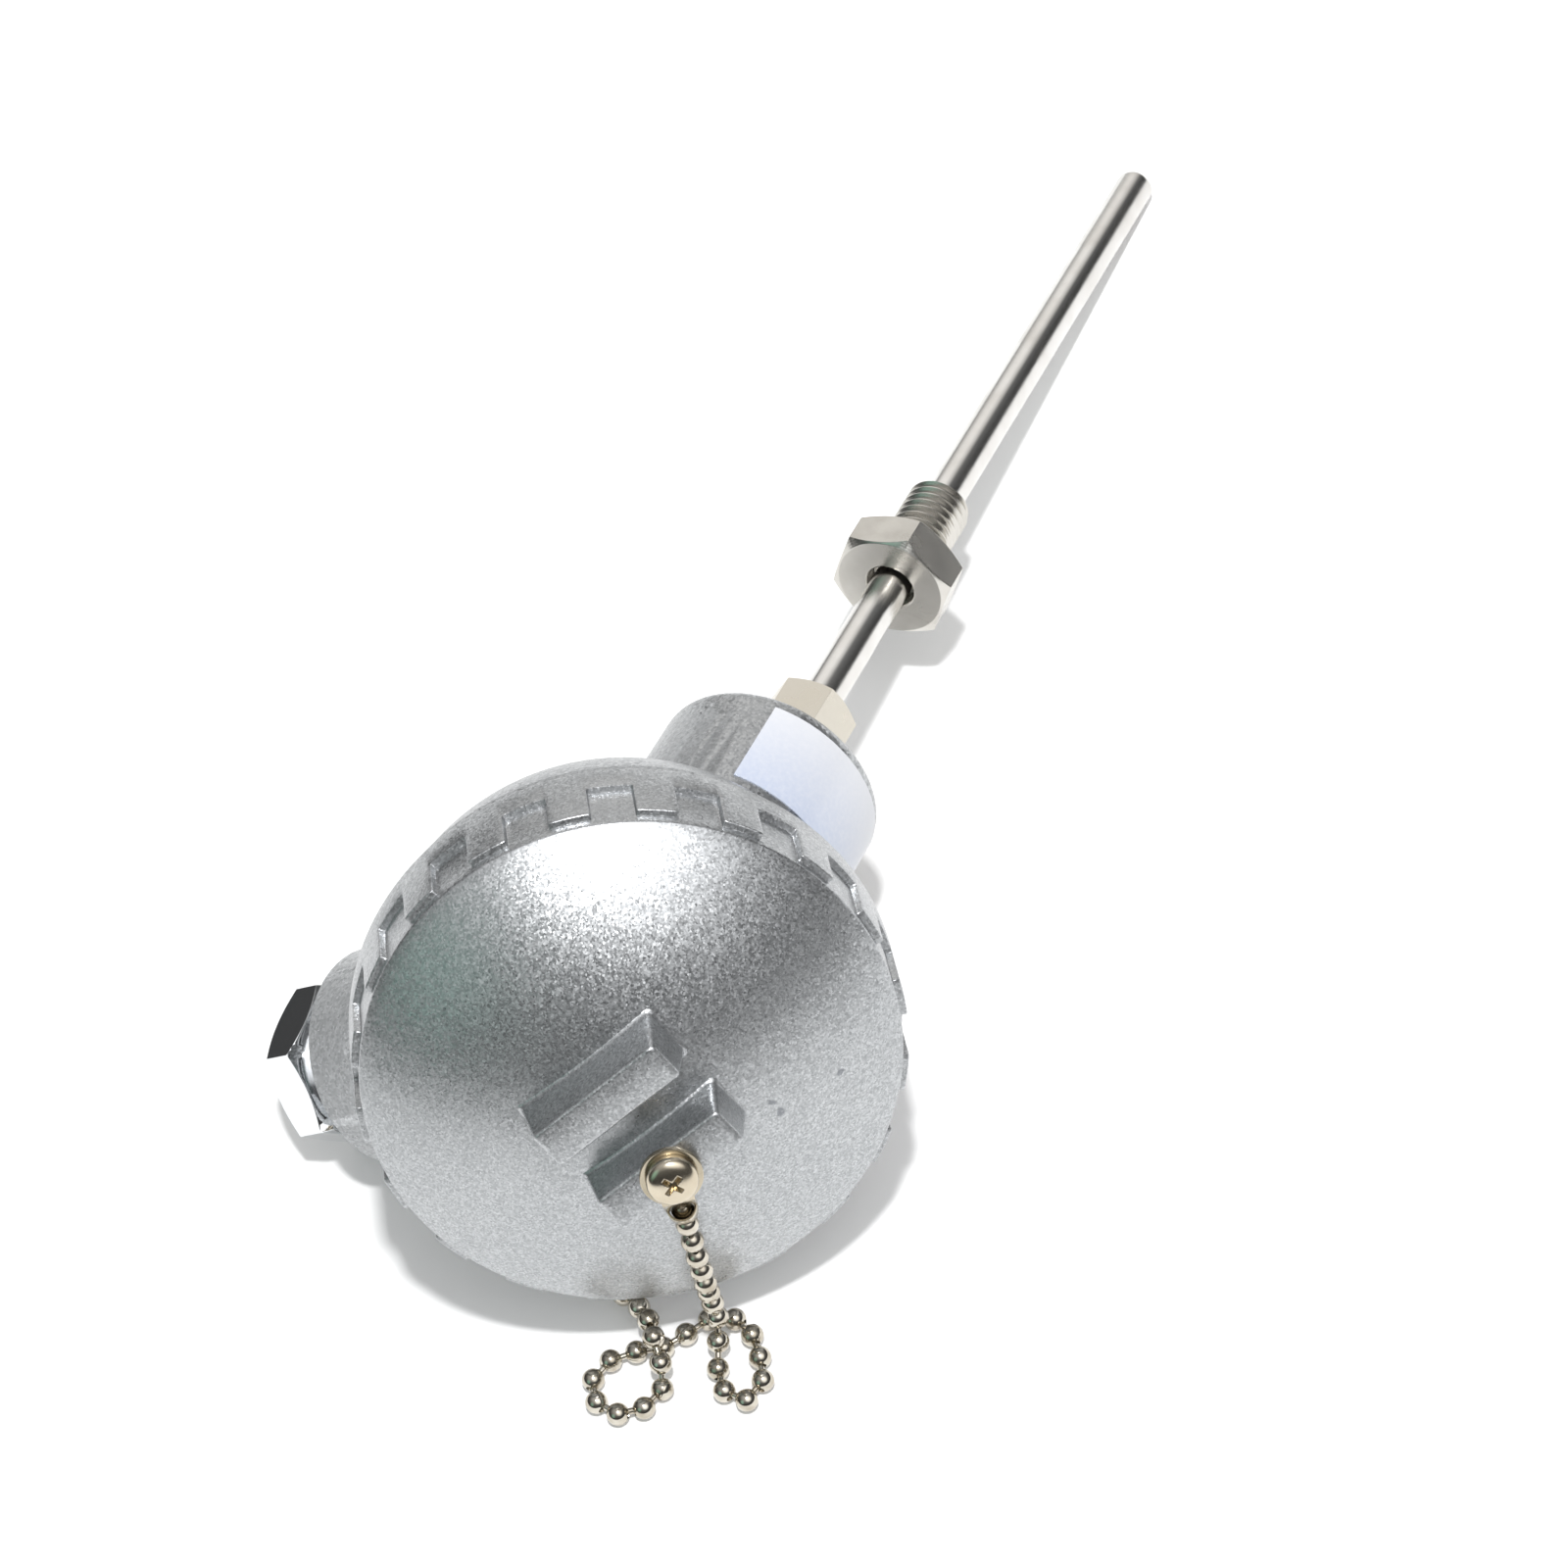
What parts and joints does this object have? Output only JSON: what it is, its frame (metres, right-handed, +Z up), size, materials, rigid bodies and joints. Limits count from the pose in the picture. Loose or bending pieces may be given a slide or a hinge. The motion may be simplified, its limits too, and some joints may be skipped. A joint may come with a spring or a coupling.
{
  "type": "rtd probe with head",
  "caption": "Resistance thermometer with a rigid stem, threaded process fitting and die-cast terminal head closed by a screw cap on a bead chain.",
  "frame": {"origin": "bottom centre of the bounding box of the part as it lies on a table", "axes": "+X is the horizontal direction of the probe towards its tip, +Z is up, the cap faces -X and the cable entry +Y"},
  "size_m": [0.2388, 0.0964, 0.0777],
  "materials": {
    "casting": "metallic silver paint",
    "stainless": "turned",
    "tube": "polished",
    "nickel": "plated",
    "chain": "nickel",
    "brass": "bare",
    "copper": "bare",
    "gasket": "matte",
    "rubber": "matte",
    "ceramic": "matte",
    "block": "satin",
    "label": "satin"
  },
  "bodies": {
    "head": {"head_body": "casting", "neck_nut": "stainless", "sheath_tube": "tube", "sensing_element": "ceramic", "insulation_core": "ceramic", "lead_wires": "copper", "process_fitting": "stainless", "gland_grommet": "rubber", "terminal_block": "block", "terminal_plates": "nickel", "clamp_washers": "nickel", "terminal_screws": "nickel", "block_screws": "nickel", "earth_screw": "brass", "label_plate": "label", "body_chain_lug": "chain", "body_chain_screw": "chain", "chain_balls": "chain", "chain_links": "chain"},
    "cap": {"screw_cap": "casting", "cap_chain_lug": "chain", "cap_chain_washer": "chain", "cap_chain_screw": "chain"},
    "cap_seal": {"cap_gasket": "gasket"},
    "gland_follower": {"gland_washer": "nickel"},
    "gland_nut_body": {"gland_nut": "nickel"}
  },
  "joints": [
    {"name": "cap_rise", "type": "slide", "parent": "head", "child": "cap_seal", "axis": [-0.7556, -0.5012, 0.4218], "range_m": [0, 0.009]},
    {"name": "cap_turn", "type": "hinge", "parent": "cap_seal", "child": "cap", "pos_m": [-0.07846, -0.00992, 0.03885], "axis": [-0.7556, -0.5012, 0.4218], "range_deg": [0, 1620], "deforming": ["chain_balls", "chain_links"]},
    {"name": "gland_slide", "type": "slide", "parent": "head", "child": "gland_follower", "axis": [-0.0875, 0.8738, -0.4784], "range_m": [0, 0.0045]},
    {"name": "gland_turn", "type": "hinge", "parent": "gland_follower", "child": "gland_nut_body", "pos_m": [-0.076, -0.00992, 0.0384], "axis": [-0.0875, 0.8738, -0.4784], "range_deg": [0, 1081]}
  ],
  "couplings": [
    {"joint": "cap_rise", "follows": "cap_turn", "m_per_rad": 0.00031831},
    {"joint": "gland_turn", "follows": "gland_slide", "rad_per_m": 4188.8}
  ]
}
